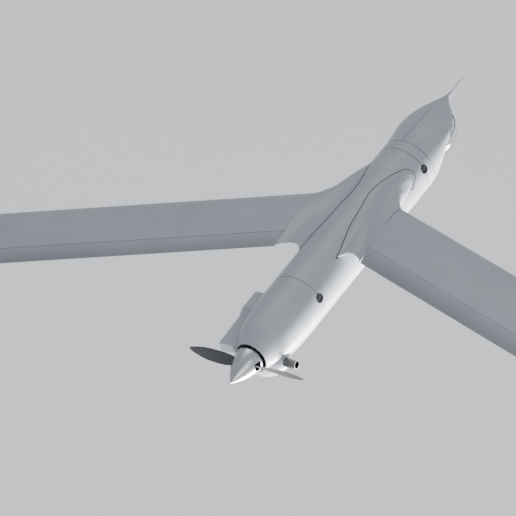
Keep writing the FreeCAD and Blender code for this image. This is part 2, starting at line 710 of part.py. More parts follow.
def tip_block():
    """Closes the wing tip and carries the winglet: wing section drawn outboard and rounded."""
    wires = []
    for x, grow in ((TIP_X + GAP, 0.0), (TIP_X + 9.0, 3.0), (TIP_X + 17.0, 10.0)):
        front = x * math.tan(math.radians(SWEEP)) + grow
        chord = CHORD / math.cos(math.radians(SWEEP)) - 2 * grow
        thickness = THICKNESS * math.cos(math.radians(SWEEP)) * (1 - grow / 22.0)
        to_point = lambda a, h, x=x, front=front: V(x, front + a, WING_Z + h)
        wires.append(section(chord, thickness, CAMBER, to_point, steps=10))
    return Part.makeLoft(wires, True, False)


def wingtip_hook():
    """Steel capture hook ahead of the winglet, screwed to the tip block."""
    centre = V(TIP_X + 9, TIP_LE - 6, WING_Z)
    eye_at = centre - Y * HOOK_REACH
    half = HOOK_THICK / 2
    shank = box(centre.x - 3, centre.x + 3, eye_at.y, centre.y + HOOK_REACH, WING_Z - half, WING_Z + half)
    eye = rod(eye_at - Z * half, eye_at + Z * half, HOOK_EYE_R)
    mouth = rod(eye_at - Z * 5, eye_at + Z * 5, HOOK_BORE_R)
    entry = box(eye_at.x - 20, eye_at.x, eye_at.y - 2.5, eye_at.y + 2.5, WING_Z - 5, WING_Z + 5)
    entry = rotated(entry, eye_at, Z, -30)
    return shank.fuse(eye).cut(mouth).cut(entry).cut(tip_block())


# ---- tail ---------------------------------------------------------------------------------------
# station, radius of the cowl's outer line
COWL_LINE = [
    (TAIL_SEAM + SEAM / 2, FUSELAGE_R), (510.0, FUSELAGE_R), (560.0, 88.4), (600.0, 84.6), (640.0, 77.4),
    (675.0, 66.4), (COWL_END, 52.0),
]
COWL_SKIN = 2.5


def cowl_body(inset=0.0):
    """Solid of revolution inside the cowl's outer line."""
    points = [V(r - inset, y, 0) for y, r in COWL_LINE]
    first, last = points[0], points[-1]
    on_axis = [V(0, last.y, 0), V(0, first.y, 0)]
    line = spline(points, InitialTangent=Y * 60, FinalTangent=V(-18, 36, 0))
    edges = [line, Part.makeLine(last, on_axis[0]), Part.makeLine(*on_axis), Part.makeLine(on_axis[1], first)]
    return Part.Face(Part.Wire(edges)).revolve(ORIGIN, Y, 360)


# outline of the cooling scoop seen from the side: station, height
SCOOP_SIDE = [(484, 46), (559, 46), (583, 33), (700, 27), (700, -2), (583, -12), (559, -38), (484, -38)]
SCOOP_MIDDLE = 8.0
SCOOP_FRONT, SCOOP_BACK = 500.0, 690.0   # points ahead of and behind these are on its end faces
SCOOP_SKIN = 2.4
SCOOP_ROUND = 3.5


def scoop_block(inset, open_front, x0, x1):
    points = []
    for y, z in SCOOP_SIDE:
        station = y - inset if y > SCOOP_BACK else (y - open_front if y < SCOOP_FRONT else y)
        points.append(V(x0, station, z - math.copysign(inset, z - SCOOP_MIDDLE)))
    return prism(points, V(x1 - x0, 0, 0))


def cooling_scoop(cowl):
    outer = scoop_block(0, 0, 20, SCOOP_X)
    outer = outer.makeFillet(SCOOP_ROUND, [e for e in outer.Edges if e.BoundBox.XMin > SCOOP_X - 0.1])
    scoop = outer.cut(scoop_block(SCOOP_SKIN, 10, 10, SCOOP_X - SCOOP_SKIN)).cut(cowl)
    return max(scoop.Solids, key=lambda s: s.Volume)


# station, middle height, half width, half height
BELLY_SECTIONS = [
    (592.0, -42.0, 40.0, 34.0),
    (606.0, -46.0, 58.0, 41.0),
    (620.0, -48.0, 72.0, 45.0),
    (636.0, -50.0, 80.0, 47.0),
    (654.0, -51.0, 79.0, 47.0),
    (674.0, -51.0, 66.0, 45.0),
    (690.0, -48.0, 47.0, 37.0),
    (700.0, -45.0, 28.0, 25.0),
    (705.0, -43.0, 15.0, 14.0),
]


def belly_body(inset=0.0):
    wires = []
    for station, middle, wide, tall in BELLY_SECTIONS:
        wide, tall = max(wide - inset, 2.0), max(tall - inset, 1.5)
        centre = V(0, station, middle)
        curve = Part.Ellipse(centre + V(wide, 0, 0), centre + V(0, 0, tall), centre)
        wires.append(Part.Wire(curve.toShape()))
    return Part.makeLoft(wires, True, False)


CAN_Y, CAN_Z = 650.0, -49.0
CAN_ENDS = (-40.0, 36.0)
CAN_R, CAN_SKIN = 24.0, 2.0
PIPE_START = V(-44, CAN_Y, -45.2)
PIPE_END = V(-112, CAN_Y, CAN_Z)
PIPE_R, PIPE_BORE_R = 14.0, 11.5


def tail_shells():
    """Cowl, cover over the silencer and cooling scoop; each meets the cowl's skin."""
    window = scoop_block(4.0, -16, 20, SCOOP_X - 6).common(box(0, 120, 480, 594, -60, 60))
    cowl = cut_latches(cowl_body().cut(cowl_body(COWL_SKIN))).cut(window)
    along = PIPE_START - PIPE_END
    passage = rod(PIPE_START + along * 0.4, PIPE_END, PIPE_R + 0.6)
    belly_inner = belly_body(2.4)
    belly = belly_body().cut(belly_inner).cut(cowl_body(-0.2)).cut(passage)
    cowl = cowl.cut(belly_inner).cut(passage)
    shells = [max(shell.Solids, key=lambda s: s.Volume) for shell in (cowl, belly)]
    return shells + [cooling_scoop(cowl_body(-0.2))]


CYLINDER_R, CYLINDER_BORE_R, CYLINDER_START, CYLINDER_TOP = 16.0, 13.0, 37.2, 95.0
FIN_COUNT, FIN_PITCH, FIN_THICK, FIN_R = 11, 5.0, 1.8, 26.0
CASE_R, CASE_BORE_R = 32.0, 26.0
SNOUT_R = 17.0             # housing of the long drive shaft


def engine():
    """Single-cylinder engine: crankcase on the fuselage axis, finned cylinder into the scoop."""
    at = V(0, ENGINE_Y, 0)
    case = disc(ENGINE_Y - 34, ENGINE_Y + 36, CASE_R).fuse(disc(ENGINE_Y + 35, ENGINE_Y + 60, 24))
    case = case.fuse(disc(ENGINE_Y + 59, 690, SNOUT_R)).cut(disc(ENGINE_Y + 20, 700, DRIVE_R + 0.05))
    case = case.cut(disc(ENGINE_Y - 28, ENGINE_Y + 28, CASE_BORE_R)).fuse(rod(at + X * 24, at + X * 37, 21))
    case = case.cut(rod(at + X * 10, at + X * 60, 14))
    barrel = rod(at + X * CYLINDER_START, at + X * CYLINDER_TOP, CYLINDER_R)
    starts = [at + X * (42 + FIN_PITCH * i) for i in range(FIN_COUNT)]
    barrel = barrel.fuse([rod(start, start + X * FIN_THICK, FIN_R) for start in starts])
    barrel = barrel.cut(rod(at + X * 30, at + X * 88, CYLINDER_BORE_R)).removeSplitter()
    plug = rod(at + X * (CYLINDER_TOP + 0.1), at + X * 99, 6.5).fuse(rod(at + X * 98.9, at + X * 106, 3.2))
    return case.removeSplitter(), group([barrel, plug.removeSplitter()])


FIREWALL = (468.0, 473.0)
POST_R, POST_OUT = 5.0, 20.0


def engine_mount():
    front, back = FIREWALL
    plate = disc(front, back, FUSELAGE_R - WALL - 0.2).cut(disc(front - 8, back + 7, 14))
    posts = [
        rod(V(x, back + 0.1, z), V(x, ENGINE_Y - 34.1, z), POST_R)
        for x in (-POST_OUT, POST_OUT) for z in (-POST_OUT, POST_OUT)
    ]
    return group([plate] + posts)


THROTTLE_Y = 498.0
THROTTLE_R = 4.0
INTAKE_R = 7.0


def carburettor():
    """Body with a rotary throttle, the throttle's lever, and its servo above."""
    intake = disc(480, 520, INTAKE_R)
    body = box(-13, 13, 486, ENGINE_Y - 34.2, -14, 14).cut(intake)
    body = body.cut(rod(V(0, THROTTLE_Y, -20), V(0, THROTTLE_Y, 20), THROTTLE_R + 0.06))
    barrel = rod(V(0, THROTTLE_Y, -13.5), V(0, THROTTLE_Y, 18), THROTTLE_R).cut(disc(480, 520, 3.4))
    arm = box(-4, 13, THROTTLE_Y - 3.5, THROTTLE_Y + 3.5, 16, 18)
    servo = box(-9, 9, 488, 508, 19, 42).cut(box(-30, 30, 480, 520, 10, 18.6))
    return body, barrel.fuse(arm).removeSplitter(), servo


def exhaust():
    """Silencer under the crankcase and the outlet pipe through its cover."""
    left, right = CAN_ENDS
    can = rod(V(left, CAN_Y, CAN_Z), V(right, CAN_Y, CAN_Z), CAN_R)
    can = can.cut(rod(V(left + 3, CAN_Y, CAN_Z), V(right - 3, CAN_Y, CAN_Z), CAN_R - CAN_SKIN))
    along = PIPE_START - PIPE_END
    inner_end = PIPE_START + along * 0.13
    can = can.cut(rod(inner_end + along * 0.2, PIPE_END, PIPE_R + 0.1))
    return can, tube(inner_end, PIPE_END, PIPE_R, PIPE_BORE_R)


# ---- propeller ----------------------------------------------------------------------------------
# radius, chord, pitch angle, thickness share
BLADE_SECTIONS = [
    (10.0, 19.0, 48.0, 0.42),
    (26.0, 21.0, 44.0, 0.34),
    (52.0, 31.0, 36.0, 0.18),
    (88.0, 40.0, 27.0, 0.12),
    (122.0, 40.0, 21.5, 0.10),
    (156.0, 33.0, 17.5, 0.09),
    (180.0, 21.0, 15.0, 0.09),
    (192.0, 11.0, 14.0, 0.10),
    (PROP_R, 3.5, 14.0, 0.16),
]


def blade():
    wires = []
    for radius, chord, pitch, thickness in BLADE_SECTIONS:
        a = math.radians(pitch)
        aft_down = V(0, math.sin(a), -math.cos(a))
        normal = V(0, -math.cos(a), -math.sin(a))
        start = V(radius, PROP_Y, 0) - aft_down * chord * 0.42
        to_point = lambda d, h, s=start, c=aft_down, n=normal: s + c * d + n * h
        wires.append(section(chord, thickness, 0.02, to_point, steps=8))
    return Part.makeLoft(wires, True, False)


def hub_bolt_places():
    """The bolt circle shared by the propeller, its washer, the spinner plate and the drive flange."""
    turns = [math.radians(45 + 360 * i / HUB_BOLT_COUNT) for i in range(HUB_BOLT_COUNT)]
    return [(HUB_BOLT_CIRCLE * math.cos(turn), HUB_BOLT_CIRCLE * math.sin(turn)) for turn in turns]


def drilled(shape, start, end):
    """The shape with the hub's bolt holes through it."""
    for x, z in hub_bolt_places():
        shape = shape.cut(disc(start, end, HUB_BOLT_R + 0.1, x, z))
    return shape


def propeller():
    one = blade()
    two = rotated(one, V(0, PROP_Y, 0), Y, 180)
    prop = disc(PROP_Y - HUB_HALF, PROP_Y + HUB_HALF, HUB_R).fuse([one, two])
    prop = prop.cut(disc(PROP_Y - 30, PROP_Y + 30, STUD_R + 0.1))
    return drilled(prop, PROP_Y - 30, PROP_Y + 30).removeSplitter()


def prop_bolts():
    """Four bolts and the washer plate under their heads."""
    face = PROP_Y + HUB_HALF + 0.1
    bolts = []
    for x, z in hub_bolt_places():
        head_disc = disc(face + 2.1, face + 5.4, 3.6, x, z)
        bolts.append(head_disc.fuse(disc(PROP_Y - 24, face + 2.2, HUB_BOLT_R, x, z)).removeSplitter())
    washer = disc(face, face + 2, HUB_R - 0.5).cut(disc(PROP_Y, PROP_Y + 20, STUD_R + 0.1))
    return group(bolts + [drilled(washer, PROP_Y, PROP_Y + 20)])


def drive_shaft():
    back = SPINNER_BASE - 4.2
    shaft = disc(ENGINE_Y + 30, back, DRIVE_R).fuse(disc(SPINNER_BASE - 6, PROP_Y + 24, STUD_R))
    flange = drilled(disc(SPINNER_BASE - 9, back, HUB_R), PROP_Y - 40, PROP_Y)
    return shaft.fuse(flange).removeSplitter()


SPINNER_LINE = [(24.0, 39.6), (53.0, 30.6), (82.0, 17.4)]   # distance behind the base, radius
SPINNER_SKIN = 1.8
SLOT_HALF = 14.0           # the blade slots in the spinner
SLOT_ROUND = 6.0
PLATE_THICK = 4.0
PLATE_R = SPINNER_R - 0.6


def spinner_outline(grow):
    base, tip = V(SPINNER_R + grow, SPINNER_BASE, 0), V(0, SPINNER_TIP + grow * 2, 0)
    between = [V(radius + grow, SPINNER_BASE + back, 0) for back, radius in SPINNER_LINE]
    side = spline([base] + between + [tip], InitialTangent=V(-5, 50, 0), FinalTangent=V(-27, 38, 0))
    foot = V(0, SPINNER_BASE, 0)
    outline = Part.Wire([side, Part.makeLine(tip, foot), Part.makeLine(foot, base)])
    return Part.Face(outline).revolve(ORIGIN, Y, 360)


def blade_slot():
    """Slot for one blade, rounded at its aft end."""
    slot = box(20, 60, SPINNER_BASE - 1, PROP_Y + 12, -SLOT_HALF, SLOT_HALF)
    aft = [e for e in slot.Edges if abs(e.tangentAt(e.FirstParameter).x) > 0.9 and e.BoundBox.YMin > PROP_Y]
    return slot.makeFillet(SLOT_ROUND, aft)


def spinner():
    """Thin cone with two blade slots, and the plate behind it with a spacer to the propeller's hub."""
    whole = spinner_outline(0).cut(spinner_outline(-SPINNER_SKIN))
    cone = whole.cut(blade_slot()).cut(mirrored(blade_slot()))
    fill = box(20, 60, SPINNER_BASE - PLATE_THICK, SPINNER_BASE + 5, 0.2 - SLOT_HALF, SLOT_HALF - 0.2)
    tab = whole.common(fill)
    root = disc(SPINNER_BASE - PLATE_THICK, SPINNER_BASE, PLATE_R).common(fill)
    plate = disc(SPINNER_BASE - PLATE_THICK, SPINNER_BASE - 0.2, PLATE_R)
    plate = plate.fuse(ring(SPINNER_BASE - 1, SPINNER_BASE + 6, SPINNER_R - 4.4, SPINNER_R - 7.0))
    plate = plate.cut(disc(SPINNER_BASE - 20, SPINNER_BASE + 20, STUD_R + 0.1))
    plate = plate.cut(box(-60, 60, SPINNER_BASE, SPINNER_BASE + 20, -SLOT_HALF, SLOT_HALF))
    spacer = disc(SPINNER_BASE - 0.1, PROP_Y - HUB_HALF - 0.1, HUB_R).cut(disc(700, 760, STUD_R + 0.1))
    plate, spacer = (drilled(piece, PROP_Y - 40, PROP_Y + 20) for piece in (plate, spacer))
    return cone, plate.fuse([spacer, tab, mirrored(tab), root, mirrored(root)]).removeSplitter()


# ---- payload bay contents -----------------------------------------------------------------------
def rounded(shape, radius, along):
    """The shape with its edges along an axis rounded."""
    edges = [e for e in shape.Edges if abs(e.tangentAt(e.FirstParameter).dot(along)) > 0.9]
    return shape.makeFillet(radius, edges)


def equipment():
    """Avionics on their tray over the battery, ahead of the fuel tank."""
    tray = box(-62, 62, -150, 60, -34, -31)
    avionics = rounded(box(-34, 34, -130, -20, -30.9, 12), 4, Z)
    battery = rounded(box(-40, 40, -120, 40, -72, -34.5), 5, Y)
    tank = disc(160, 410, 80).common(box(-80, 80, 150, 420, -80, 36))
    return {"avionics_tray": group([tray, avionics]), "battery_pack": battery, "fuel_tank": tank}


def build():
    """Every node's shape in the row frame, by name."""
    parts = {}
    parts["nose_shell_port"], parts["nose_shell_starboard"] = nose_shells()
    parts["turret_seat"] = turret_seat()
    parts["dome_window"] = dome_window()
    parts["turret_base"], parts["turret_yoke"], parts["camera_ball"], parts["camera_lenses"] = turret()
    parts["pitot_probe"] = pitot()
    parts["nose_collar"] = collar()
    parts["joint_rings"] = joint_rings()
    parts["centre_fuselage"] = centre_fuselage()
    parts["launch_lug"] = launch_lug()
    parts["latch_receptacles"] = latch_receptacles()
    for name, y, side in latch_places():
        parts[f"{name}_latch_{'port' if side > 0 else 'starboard'}"] = latch(y, side)
    surface, horn = elevon()
    servo, arm, link = servo_parts()
    winglet, rudder = winglet_and_rudder()
    port = {
        "root_fairing": root_fairing(), "wing_panel": wing_skin(), "elevon": surface, "elevon_horn": horn,
        "servo_arm": arm, "pushrod": link, "winglet": winglet, "rudder": rudder,
    }
    for name, shape in port.items():
        parts["port_" + name] = shape
        parts["starboard_" + name] = mirrored(shape)
    hook = wingtip_hook()
    parts["wingtip_hooks"] = group([hook, mirrored(hook)])
    parts["elevon_servos"] = group([servo, mirrored(servo)])
    parts["wing_spars"] = spar_tubes()
    parts["spar_joiner"] = spar_joiner()
    parts["elevon_hinge_rods"] = hinge_rods()
    parts["tail_cowl"], parts["belly_cover"], parts["cooling_scoop"] = tail_shells()
    parts["crankcase"], parts["engine_cylinder"] = engine()
    parts["firewall"] = engine_mount()
    parts["carburettor"], parts["throttle_lever"], parts["throttle_servo"] = carburettor()
    parts["silencer"], parts["exhaust_pipe"] = exhaust()
    turning = {"propeller": propeller(), "propeller_bolts": prop_bolts(), "drive_shaft": drive_shaft()}
    turning["spinner_cone"], turning["spinner_backplate"] = spinner()
    for name, shape in turning.items():
        parts[name] = rotated(shape, V(0, PROP_Y, 0), Y, -PROP_REST)
    parts.update(equipment())
    return {name: place(shape) for name, shape in parts.items()}


def main():
    os.makedirs("parts", exist_ok=True)
    for old in os.listdir("parts"):
        os.remove(os.path.join("parts", old))
    for name, shape in build().items():
        shape.exportStep(os.path.join("parts", name + ".step"))
        solids = shape.Solids
        state = "" if solids and shape.isValid() else "  <-- check"
        print(f"{name:26s} solids {len(solids)} volume {shape.Volume / 1000:9.1f} cm3{state}")


if __name__ == "__main__":
    main()
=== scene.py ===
import math

import bmesh
import bpy
from mathutils import Matrix, Vector
from mathutils.bvhtree import BVHTree


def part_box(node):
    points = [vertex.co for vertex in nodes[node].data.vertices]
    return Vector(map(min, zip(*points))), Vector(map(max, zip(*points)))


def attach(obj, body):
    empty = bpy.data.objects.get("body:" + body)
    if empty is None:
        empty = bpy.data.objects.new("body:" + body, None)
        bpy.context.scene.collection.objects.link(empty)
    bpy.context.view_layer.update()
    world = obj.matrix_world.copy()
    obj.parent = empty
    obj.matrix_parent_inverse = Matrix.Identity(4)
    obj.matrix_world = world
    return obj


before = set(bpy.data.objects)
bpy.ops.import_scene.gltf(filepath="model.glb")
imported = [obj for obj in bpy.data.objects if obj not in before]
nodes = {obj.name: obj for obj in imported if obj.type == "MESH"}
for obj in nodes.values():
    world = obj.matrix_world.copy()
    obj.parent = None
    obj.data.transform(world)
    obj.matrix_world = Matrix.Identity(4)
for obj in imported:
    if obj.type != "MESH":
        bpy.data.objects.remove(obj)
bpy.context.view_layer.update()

# Everything is in metres in the row frame: the origin is the launch lug's face, +X port, +Y aft, +Z up.
AXIS_Z = 0.104               # fuselage axis
DATUM_Y = -0.320             # where the two leading edges meet
HULL_R = 0.090               # centre fuselage
SWEEP = math.radians(20)
CHORD = 0.2321               # leading edge to trailing edge, square to the leading edge
HINGE_BACK = CHORD * 0.77    # elevon hinge behind the leading edge
SEAMS = (-0.5264, -0.4900, 0.1210)   # stations of the fuselage's ring seams
SEAM_HALF, SEAM_SOFT = 0.0010, 0.0016
NOSE_JOINT = (-0.716, -0.706)   # the nose's centre joint fades in between these stations
ROOT_X = 0.150               # where the wing panel meets its fairing
TIP_X = 1.498                # where the wing panel meets its winglet
ROOT_FADE = (0.075, 0.115)   # behind the leading edge, where the root joint's dirt thins out
DOME_CENTRE = Vector((0, -0.654, 0.130))
DOME_R = 0.089
PIPE_Y = 0.330               # the exhaust pipe runs outboard and slightly down from PIPE_IN to PIPE_OUT
PIPE_IN = Vector((-0.044, PIPE_Y, AXIS_Z - 0.0452))
PIPE_OUT = Vector((-0.112, PIPE_Y, AXIS_Z - 0.049))
PIPE_ALONG = (PIPE_OUT - PIPE_IN).normalized()
PIPE_MOUTH_Z = AXIS_Z - 0.0485
PIPE_R = 0.014
PIPE_BORE = (0.0128, 0.0119)     # soot and painted shade set in over this step towards the pipe's middle
PIPE_BROWN = (-0.104, -0.088)    # stations across the hull where heat browns the pipe
PIPE_DARK = (-0.094, -0.078)     # and where it darkens it
BALL_CENTRE = Vector((0, -0.672, 0.114))   # the camera ball, which looks forward and down along LOOK
LENS_FACE = 0.038            # from the ball's centre to its flat face
LOOK = Vector((0, -math.cos(math.radians(45)), -math.sin(math.radians(45))))
LOOK_UP = LOOK.cross(Vector((1, 0, 0)))
EYES = [(-0.0050, 0.0, 0.0090), (0.0090, 0.0055, 0.0036), (0.0090, -0.0055, 0.0036)]   # across, up, radius
BALL_SCREWS = [(-0.0150, 0.0050), (-0.0150, -0.0050), (0.0150, 0.0), (0.0020, 0.0130), (0.0020, -0.0130)]
BELLY_SCREW_STATIONS = (0.287, 0.318, 0.350, 0.372)
BELLY_SCREW_ANGLE = math.radians(22)   # below the horizontal through the cover's middle
BELLY_SCREW_AXIS_Z = AXIS_Z - 0.050
HATCH_LONG, HATCH_WIDE, HATCH_THICK = 0.074, 0.056, 0.0007
HATCH_SINK = 0.0002          # how far a hatch's foot reaches into the skin, so that no gap shows
HATCH_SCREW_IN = 0.006       # screws, in from the hatch's edge
SLOT_HALF_LONG, SLOT_HALF_WIDE = 0.0165, 0.0070   # the servo arm's slot in the wing's underside
SLOT_MARGIN = 0.004          # from the slot to the hatch's inner edge
BALL_SCREW_R, BELLY_SCREW_R, HATCH_SCREW_R = 0.0010, 0.0017, 0.0014
BEAD_STEP = 0.004            # between the rings of a sealant bead
BEAD_SIDES = 8
BEAD_SQUASH = 0.6            # its height for its width
WELD = 2e-5                  # mesh corners of a CAD node that are nearer than this are one
SKIN_FIT = 0.0006            # how far a face's middle may be from the surface it is matched with
FLOOR_Z = -3.4
CAMERA_AT = (-9.4211, 10.4338, 10.686)
CAMERA_TURN = (0.90805, 0.24515, -2.5833)
CAMERA_LENS, CAMERA_SENSOR = 418.6, 36.0
SKY_COLOUR, SKY_STRENGTH = (0.86, 0.91, 1.0, 1), 0.60
MIDDLE = (0, 0, 0.1)         # what the upper lights aim at


# ---- node materials -----------------------------------------------------------------------------
class Paint:
    """A Principled material whose pattern is built from nodes in object coordinates."""

    def __init__(self, name, **sockets):
        self.material = bpy.data.materials.new(name)
        self.material.use_nodes = True
        self.tree = self.material.node_tree
        self.shader = self.tree.nodes["Principled BSDF"]
        for socket, value in sockets.items():
            self.shader.inputs[socket.replace("_", " ")].default_value = value
        self.place = self.node("ShaderNodeTexCoord").outputs["Object"]
        self.axes = None

    def node(self, kind, **settings):
        made = self.tree.nodes.new(kind)
        for key, value in settings.items():
            setattr(made, key, value)
        return made

    def feed(self, socket, value):
        """Links a socket's output to this input, or sets it to a plain value."""
        if isinstance(value, bpy.types.NodeSocket):
            self.tree.links.new(value, socket)
        else:
            socket.default_value = value

    def maths(self, operation, a, b=0.0):
        made = self.node("ShaderNodeMath", operation=operation)
        self.feed(made.inputs[0], a)
        self.feed(made.inputs[1], b)
        return made.outputs[0]

    def times(self, a, b):
        return self.maths("MULTIPLY", a, b)

    def plus(self, a, b):
        return self.maths("ADD", a, b)

    def less(self, a, b):
        return self.maths("SUBTRACT", a, b)

    def most(self, a, b):
        return self.maths("MAXIMUM", a, b)

    def axis(self, letter):
        """One coordinate of the object's space, split once for each material."""
        if self.axes is None:
            split = self.node("ShaderNodeSeparateXYZ")
            self.feed(split.inputs[0], self.place)
            self.axes = split.outputs
        return self.axes["XYZ".index(letter)]

    def noise(self, scale, detail=3.0, rough=0.55):
        made = self.node("ShaderNodeTexNoise")
        self.feed(made.inputs["Vector"], self.place)
        made.inputs["Scale"].default_value = scale
        made.inputs["Detail"].default_value = detail
        made.inputs["Roughness"].default_value = rough
        return made.outputs["Fac"]

    def span(self, value, low, high, to_low=0.0, to_high=1.0):
        """Smoothly maps low..high to to_low..to_high, and holds outside."""
        made = self.node("ShaderNodeMapRange", interpolation_type="SMOOTHSTEP")
        self.feed(made.inputs["Value"], value)
        made.inputs["From Min"].default_value = low
        made.inputs["From Max"].default_value = high
        made.inputs["To Min"].default_value = to_low
        made.inputs["To Max"].default_value = to_high
        return made.outputs["Result"]

    def near(self, value, centre, half, soft):
        """1 within half of centre, falling to 0 over soft."""
        off = self.maths("ABSOLUTE", self.less(value, centre))
        return self.span(off, half, half + soft, 1.0, 0.0)

    def colours(self, share, first, second):
        """Mixes two colours: share 0 gives the first and share 1 the second."""
        made = self.node("ShaderNodeMix", data_type="RGBA")
        self.feed(made.inputs["Factor"], share)
        self.feed(made.inputs["A"], first if isinstance(first, bpy.types.NodeSocket) else (*first, 1))
        self.feed(made.inputs["B"], second if isinstance(second, bpy.types.NodeSocket) else (*second, 1))
        return made.outputs["Result"]

    def colour(self, value):
        self.feed(self.shader.inputs["Base Color"], value)
        return self

    def roughness(self, value):
        self.feed(self.shader.inputs["Roughness"], value)
        return self

    def bump(self, height, strength, distance):
        made = self.node("ShaderNodeBump")
        made.inputs["Strength"].default_value = strength
        made.inputs["Distance"].default_value = distance
        self.feed(made.inputs["Height"], height)
        self.feed(self.shader.inputs["Normal"], made.outputs["Normal"])
        return self


HULL_GREY = (0.355, 0.378, 0.408)
WING_GREY = (0.350, 0.373, 0.405)
# Dark colour for dirt in the joints, and for the painted shade on the elevons.
GRIME_AND_SHADE = (0.055, 0.058, 0.062)
DUST = (0.50, 0.50, 0.49)


def satin_paint(name, grey, lines=None):
    """Sprayed satin paint: slight tone drift, dust, orange peel, and darkening from lines: dirt drawn into
    the open joints, and painted shade on the elevons.
    """
    paint = Paint(name, Coat_Weight=0.22, Coat_Roughness=0.22, Specular_IOR_Level=0.42)
    drift = paint.span(paint.noise(5.5, 4.0), 0.30, 0.72)
    dust = paint.times(paint.span(paint.noise(62.0, 5.0, 0.65), 0.48, 0.86), 0.10)
    tone = paint.colours(drift, tuple(c * 0.955 for c in grey), tuple(c * 1.045 for c in grey))
    tone = paint.colours(dust, tone, DUST)
    if lines:
        # Darkens by lines: dirt in the joints, and painted shade on the elevons.
        tone = paint.colours(lines(paint), tone, GRIME_AND_SHADE)
    paint.colour(tone)
    paint.roughness(paint.plus(dust, paint.span(drift, 0, 1, 0.33, 0.41)))
    peel = paint.noise(900.0, 2.0, 0.5)
    wave = paint.noise(26.0, 2.0, 0.4)
    return paint.bump(paint.plus(paint.times(peel, 0.35), wave), 0.10, 0.0004)


def hull_lines(paint):
    """Dirt at the fuselage's ring seams and along the nose's centre joint."""
    y, x, z = paint.axis("Y"), paint.axis("X"), paint.axis("Z")
    rings = None
    for seam in SEAMS:
        line = paint.near(y, seam, SEAM_HALF, SEAM_SOFT)
        rings = line if rings is None else paint.most(rings, line)
    on_top = paint.span(z, AXIS_Z + 0.050, AXIS_Z + 0.062)
    ahead = paint.span(y, SEAMS[0] - 0.0016, SEAMS[0] - 0.0066)
    behind = paint.span(y, *NOSE_JOINT)
    middle = paint.times(paint.near(x, 0.0, 0.0009, 0.0012), on_top)
    middle = paint.times(middle, paint.times(ahead, behind))
    return paint.times(paint.most(rings, middle), 0.34)


def square_back(paint):
    """Distance behind the leading edge, square to it, on either wing."""
    x = paint.maths("ABSOLUTE", paint.axis("X"))
    y = paint.less(paint.axis("Y"), DATUM_Y)
    return paint.less(paint.times(y, math.cos(SWEEP)), paint.times(x, math.sin(SWEEP)))


def front_share(paint, back):
    """1 near the leading edge, falling to a trace behind it."""
    return paint.span(back, *ROOT_FADE, 1.0, 0.10)


def wing_lines(paint):
    """Dirt in the hinge gap, at the root joint near the leading edge and round the tip joint."""
    back = square_back(paint)
    x = paint.maths("ABSOLUTE", paint.axis("X"))
    hinge = paint.near(back, HINGE_BACK - 0.0022, 0.0006, 0.0020)
    root = paint.times(paint.span(x, ROOT_X + 0.0002, ROOT_X + 0.0020, 1.0, 0.0), front_share(paint, back))
    tip = paint.span(x, TIP_X, TIP_X + 0.0018)
    return paint.most(paint.times(hinge, 0.10), paint.times(paint.most(root, tip), 0.45))


def fairing_lines(paint):
    """Dirt at the joint with the wing panel, strongest near the leading edge."""
    back = square_back(paint)
    x = paint.maths("ABSOLUTE", paint.axis("X"))
    root = paint.times(paint.span(x, ROOT_X - 0.0018, ROOT_X - 0.0004), front_share(paint, back))
    return paint.times(root, 0.55)


def elevon_painted_shade(paint):
    """Painted shade: the elevon is darkened from just ahead of the hinge line, and more so towards the
    trailing edge, where its surface curves away from the light.
    """
    return paint.span(square_back(paint), HINGE_BACK - 0.008, CHORD + 0.0019, 0.10, 0.42)


def turned_metal(name, colour, rough, ring_step, axis="Y", strength=0.10):
    """Metal turned on a lathe: fine rings along its axis and faint handling marks."""
    metal = Paint(name, Metallic=1.0)
    rings = metal.maths("SINE", metal.times(metal.axis(axis), 2 * math.pi / ring_step))
    smudge = metal.span(metal.noise(24.0, 4.0, 0.6), 0.38, 0.75)
    metal.colour(metal.colours(smudge, colour, tuple(c * 0.86 for c in colour)))
    metal.roughness(metal.span(smudge, 0, 1, rough, rough + 0.14))
    return metal.bump(rings, strength, 0.00008)


def cast_metal(name, colour, rough, grain=420.0, metallic=1.0, strength=0.25, **sockets):
    """Bead-blasted or cast metal with a fine grain and broad darker patches."""
    metal = Paint(name, Metallic=metallic, **sockets)
    fine = metal.noise(grain, 4.0, 0.65)
    broad = metal.span(metal.noise(grain / 16, 3.0), 0.35, 0.70)
    metal.colour(metal.colours(broad, tuple(c * 0.82 for c in colour), colour))
    metal.roughness(metal.span(fine, 0.30, 0.75, rough - 0.06, rough + 0.10))
    return metal.bump(fine, strength, 0.00025)


def moulded(name, colour, rough, grain=700.0, strength=0.16):
    """Moulded plastic or rubber with a fine spark-eroded grain."""
    plastic = Paint(name)
    fine = plastic.noise(grain, 3.0, 0.6)
    broad = plastic.span(plastic.noise(30.0, 4.0), 0.35, 0.75)
    plastic.colour(plastic.colours(broad, colour, tuple(c * 1.25 + 0.006 for c in colour)))
    plastic.roughness(plastic.span(fine, 0.3, 0.75, rough - 0.05, rough + 0.09))
    return plastic.bump(fine, strength, 0.0002)


def woven(name, dark, light, cell, rough=0.34, flat="Z", coat=0.35):
    """Twill carbon cloth under clear resin."""
    cloth = Paint(name, Coat_Weight=coat, Coat_Roughness=0.16)
    first, second = [letter for letter in "XYZ" if letter != flat]
    u = cloth.times(cloth.axis(first), 2 * math.pi / cell)
    v = cloth.times(cloth.axis(second), 2 * math.pi / cell)
    weave = cloth.times(cloth.maths("SINE", cloth.plus(u, v)), cloth.maths("SINE", cloth.less(u, v)))
    share = cloth.span(weave, -0.45, 0.45)
    resin = cloth.span(cloth.noise(34.0, 4.0), 0.3, 0.75)
    cloth.colour(cloth.colours(resin, cloth.colours(share, dark, light), tuple(c * 1.5 for c in dark)))
    cloth.roughness(cloth.span(share, 0, 1, rough, rough + 0.16))
    return cloth.bump(weave, 0.12, 0.0001)


